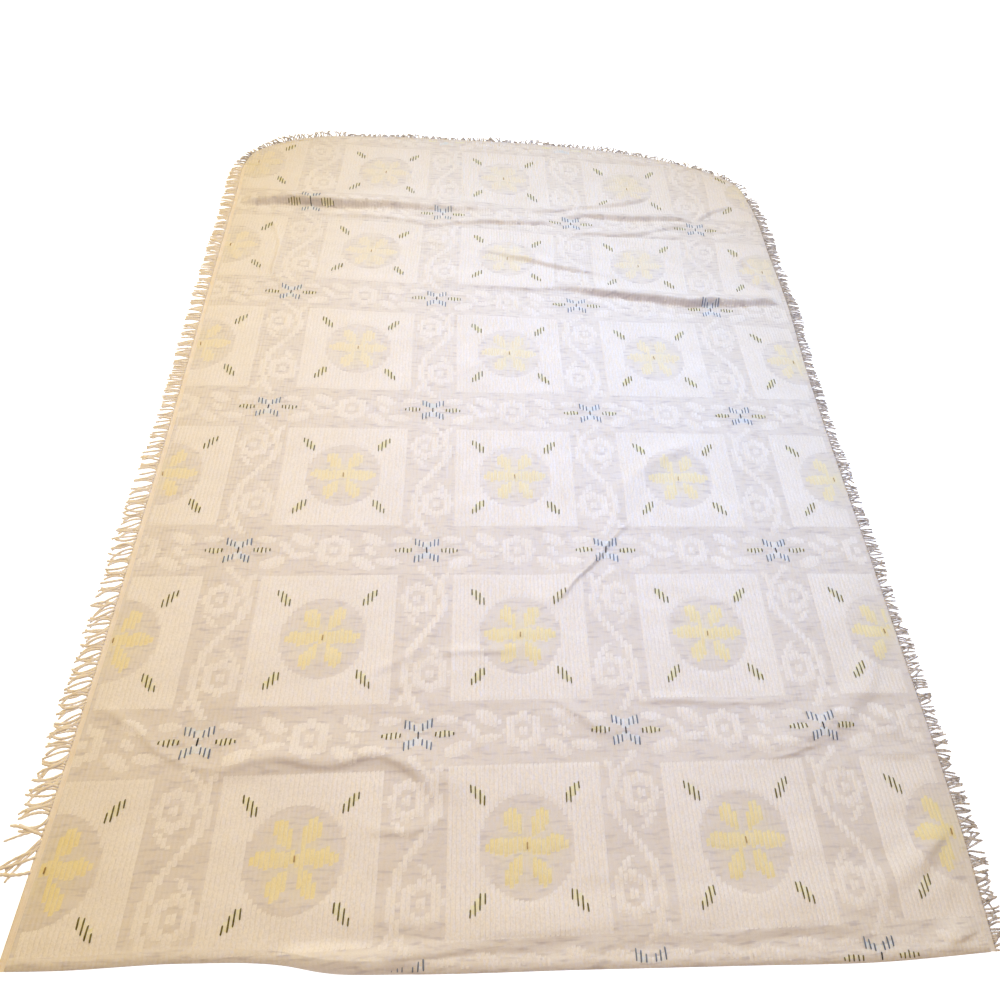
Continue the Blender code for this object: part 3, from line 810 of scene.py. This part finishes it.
# across the tape from the cloth outwards, in shares of its width and height
TAPE_PROFILE = [(1, 0), (1, 0.55), (0.86, 0.95), (0.78, 0.8), (0.6, 1), (0.3, 1), (0.15, 0.82), (0, 0.6), (0, 0)]
CREAM, CREAM_BLOTCH = (0.90, 0.83, 0.77), (0.84, 0.75, 0.67)
# The foot and right cords: the cream cord greyed and given small dark blotches, as painted shade of the shadowed gaps
# between the cords.
SHADED_CORD, CORD_GAP_SHADE = (0.76, 0.69, 0.66), (0.27, 0.23, 0.215)
# How the cords lie, from metre to metre of a side: where, length, swing, curl back, scatter, lean, and the share that
# is tucked under the cloth. The first ones at the head end on the left are all tucked under.
LEFT_LIE = [
    (0, 0.07, 0.4, 0.4, 0.25, 0.5, 1), (0.15, 0.07, 0.4, 0.4, 0.25, 0.5, 1), (0.16, 0.078, 0.4, 0.4, 0.25, 0.5, 0.6),
    (0.22, 0.07, 0.4, 0.4, 0.25, 0.5, 0.5), (0.24, 0.06, 0.75, 2.3, 0.12, 0.3, 0),
    (0.95, 0.058, 0.7, 2.2, 0.12, 0.25, 0), (1.15, 0.047, 0.4, 0.9, 0.1, 0.1, 0), (2.6, 0.045, 0.32, 0.7, 0.12, 0, 0),
]
FOOT_LIE = [(0, 0.044, 0.3, 0.6, 0.2, 0, 0), (0.35, 0.04, 0.3, 0.6, 0.4, 0, 0.1), (2.4, 0.036, 0.3, 0.6, 0.45, 0, 0.1)]
RIGHT_LIE = [(0, 0.046, 0.25, 0.6, 0.2, 0, 0), (1, 0.04, 0.25, 0.5, 0.25, 0, 0), (2.6, 0.042, 0.15, 0.4, 0.18, 0.15, 0)]

hem_stops = [0.0, hem_lengths[left_corner], hem_lengths[right_corner], hem_lengths[-1]]


def beside_hem(along, outward):
    x, y, nx, ny = (np.interp(along, hem_lengths, line) for line in (*hem.T, *hem_out.T))
    size = np.hypot(nx, ny)
    return x + outward * nx / size, y + outward * ny / size


def tape_mesh(start, end):
    """The tape: a low crowned band with a row of machine stitches pressed into each edge."""
    steps = round((end - start) / TAPE_STITCH)
    points = []
    for k, at in enumerate(np.linspace(start, end, steps + 1)):
        for column, (inward, top) in enumerate(TAPE_PROFILE):
            dimple = 0.75 if column in (3, 6) and k % 2 else 1.0
            points.append((*beside_hem(at, -TAPE_WIDTH * inward), TAPE_TOP * top * dimple))
    grid = np.arange(len(points)).reshape(steps + 1, len(TAPE_PROFILE))
    return [points], [quads(grid)[:, ::-1]]


def cord_points(root, way, length, curl, lift, steps):
    """A cord's middle line on the floor from its root, bending as it goes."""
    t = np.linspace(0, 1, steps + 1)
    heading = math.atan2(way[1], way[0]) + curl[0] * t + curl[1] * np.sin(math.pi * t)
    step = length / steps
    x = root[0] + np.concatenate([[0], np.cumsum(np.cos(heading[:-1]) * step)])
    y = root[1] + np.concatenate([[0], np.cumsum(np.sin(heading[:-1]) * step)])
    z = 0.0024 + 0.0006 * (1 - t) + lift * np.sin(math.pi * np.clip(t * 1.15, 0, 1))
    return np.stack([x, y, z], axis=1)


def cord_mesh(line, phase, thick, sides=6):
    """Two plies twisted round each other, as a lobed section that turns along the cord."""
    ways = np.gradient(line, axis=0)
    ways /= np.linalg.norm(ways, axis=1)[:, None]
    over = np.cross(ways, [0, 0, 1.0])
    over /= np.linalg.norm(over, axis=1)[:, None]
    up = np.cross(over, ways)
    reached = np.concatenate([[0.0], np.cumsum(np.linalg.norm(np.diff(line, axis=0), axis=1))])
    turn = np.arange(sides) * 2 * math.pi / sides
    twist = phase + reached * 2 * math.pi / PLY_TURN
    lobes = 0.70 + 0.42 * np.abs(np.cos(turn[None, :] - twist[:, None]))
    taper = np.interp(reached / reached[-1], [0, 0.08, 0.9, 1], [0.8, 1, 1, 0.8])[:, None]
    radius = thick * lobes * taper
    height = np.maximum(line[:, 2][:, None] + radius * np.sin(turn), 0.0003)
    flat = line[:, None, :2] + radius[..., None] * np.cos(turn)[None, :, None] * over[:, None, :2]
    points = as_points(flat[..., 0], flat[..., 1], height)
    grid = np.arange(len(points)).reshape(len(line), sides)
    beside = np.roll(grid, -1, axis=1)
    around = np.stack([grid[:-1], grid[1:], beside[1:], beside[:-1]], axis=-1)
    return points, [around.reshape(-1, 4), grid[:1], grid[-1:, ::-1]]


def fringe_run(name, start, end, lie, pitch, thick, ragged, seed, finish, node):
    """The cords along one side, in one piece."""
    rng = np.random.default_rng(seed)
    places, *lies = np.array(lie).T
    points, faces, count = [], [], 0
    cords = round((end - start) / pitch)
    for k in range(cords):
        at = start + (k + 0.5 + 0.25 * rng.uniform(-1, 1)) * (end - start) / cords
        length, swing, back, scatter, lean, tucked = (np.interp(at - start, places, values) for values in lies)
        clump = 0.5 + 0.5 * float(wander(at, 0.0, 0.045, 1.0, seed))
        wave = math.sin(2 * math.pi * at / BUNCH + 1.6 * math.sin(at * 11.0)) * swing
        turn, curl = lean - wave + scatter * rng.normal(), back * wave + scatter * 1.2 * rng.normal()
        if rng.random() < tucked:
            continue
        (x, y), (out_x, out_y) = beside_hem(at, -0.003), beside_hem(at, 0.02)
        way = (out_x - x, out_y - y)
        way = (way[0] * math.cos(turn) - way[1] * math.sin(turn), way[0] * math.sin(turn) + way[1] * math.cos(turn))
        length *= rng.uniform(0.86, 1.03) * (1 - ragged * clump)
        line = cord_points((x, y), way, length, (curl, scatter * 0.8 * rng.normal()), 0.0035 * rng.random() ** 2, 18)
        cord, cord_faces = cord_mesh(line, rng.uniform(0, math.pi), thick * rng.uniform(0.85, 1.1))
        points.append(cord)
        faces += [part + count for part in cord_faces]
        count += len(cord)
    made = piece(name, points, faces, finish, "fringe")
    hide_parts(node)
    return made


cream_finish = cotton_finish("cream cotton cord", CREAM, CREAM_BLOTCH, 0.03, 0.0012, 0.0006, 0.2)[0]
# Painted shade: this finish greys the foot and right cords and blotches them dark for the gaps between them.
shaded_cord_finish = cotton_finish("cotton cord with painted shade", SHADED_CORD, CORD_GAP_SHADE, 0.008, 0.0012, 0.0006, 0.2)[0]
left_side, foot_side, right_side = zip(hem_stops, hem_stops[1:])
tapes = [
    piece("tape_left", *tape_mesh(*left_side), cream_finish, "fringe"),
    piece("tape_foot", *tape_mesh(*foot_side), ground_finish, "fringe"),
    piece("tape_right", *tape_mesh(*right_side), ground_finish, "fringe"),
]
fringes = [
    fringe_run("cord_fringe_left", *left_side, LEFT_LIE, 0.0062, 0.0032, 0.15, 41, cream_finish, "fringe_left"),
    fringe_run("cord_fringe_foot", *foot_side, FOOT_LIE, 0.0062, 0.0022, 0.65, 42, shaded_cord_finish, "fringe_foot"),
    fringe_run("cord_fringe_right", *right_side, RIGHT_LIE, 0.0049, 0.0023, 0.35, 43, shaded_cord_finish, "fringe_right"),
]

# ---------- floor and light
# A plain pale floor and backdrop under soft light: a warm room, a wide lamp beyond the foot, and bluer daylight from
# there, from the right and from above.

floor_mesh = bpy.data.meshes.new("floor")
floor_mesh.from_pydata([(-8, -8, 0), (8, -8, 0), (8, 8, 0), (-8, 8, 0)], [], [(0, 1, 2, 3)])
floor = bpy.data.objects.new("floor", floor_mesh)
scene.collection.objects.link(floor)
floor_finish = bpy.data.materials.new("pale floor")
floor_finish.use_nodes = True
floor_shader = floor_finish.node_tree.nodes["Principled BSDF"]
floor_shader.inputs["Base Color"].default_value = (0.93, 0.93, 0.93, 1)
floor_shader.inputs["Roughness"].default_value = 0.9
floor_shader.inputs["Emission Color"].default_value = (0.85, 0.92, 1.0, 1)
floor_shader.inputs["Emission Strength"].default_value = 0.92
floor_mesh.materials.append(floor_finish)

sky = bpy.data.worlds.new("soft light")
sky.use_nodes = True
tree = sky.node_tree
glow = tree.nodes["Background"]
glow.inputs["Color"].default_value = (1.0, 0.646, 0.246, 1)
glow.inputs["Strength"].default_value = 0.424
backdrop = add_node(tree, "Background", Color=(0.95, 0.95, 0.96, 1), Strength=0.9)
seen = add_node(tree, "LightPath").outputs["Is Camera Ray"]
both = add_node(tree, "MixShader", _0=seen, _1=glow, _2=backdrop)
tree.links.new(both.outputs[0], tree.nodes["World Output"].inputs["Surface"])
scene.world = sky


def soft_light(name, place, aim, size, spread, power, colour):
    """A wide, unseen area light: a disk, or a rectangle where its size is given as two numbers."""
    data = bpy.data.lights.new(name, "AREA")
    data.shape = "DISK" if isinstance(size, float) else "RECTANGLE"
    data.size, data.size_y = (size, size) if isinstance(size, float) else size
    data.spread = math.radians(spread)
    data.energy = power
    data.color = colour
    light = bpy.data.objects.new(name, data)
    light.location = place
    light.rotation_euler = (Vector(aim) - Vector(place)).to_track_quat("-Z", "Y").to_euler()
    light.visible_camera = False
    scene.collection.objects.link(light)


soft_light("daylight", (0.06, 1.22, 1.61), (0.44, 0.07, 0), (1.4, 2.6), 58, 5.3, (0.0, 0.374, 1.0))
soft_light("side_daylight", (2.4, 0.35, 1.5), (0.5, 0.25, 0), (1.0, 2.0), 110, 7.56, (0.0, 0.402, 1.0))
soft_light("skylight", (0.08, -0.15, 3.2), (0.08, -0.15, 0), (0.7, 2.0), 66, 6.47, (0.049, 0.295, 1.0))
soft_light("lamp", (-0.4, 1.6, 3.8), (-0.05, -1.05, 0), 1.6, 120, 63.0, (1.0, 0.871, 0.478))

scene.view_settings.view_transform = "Standard"
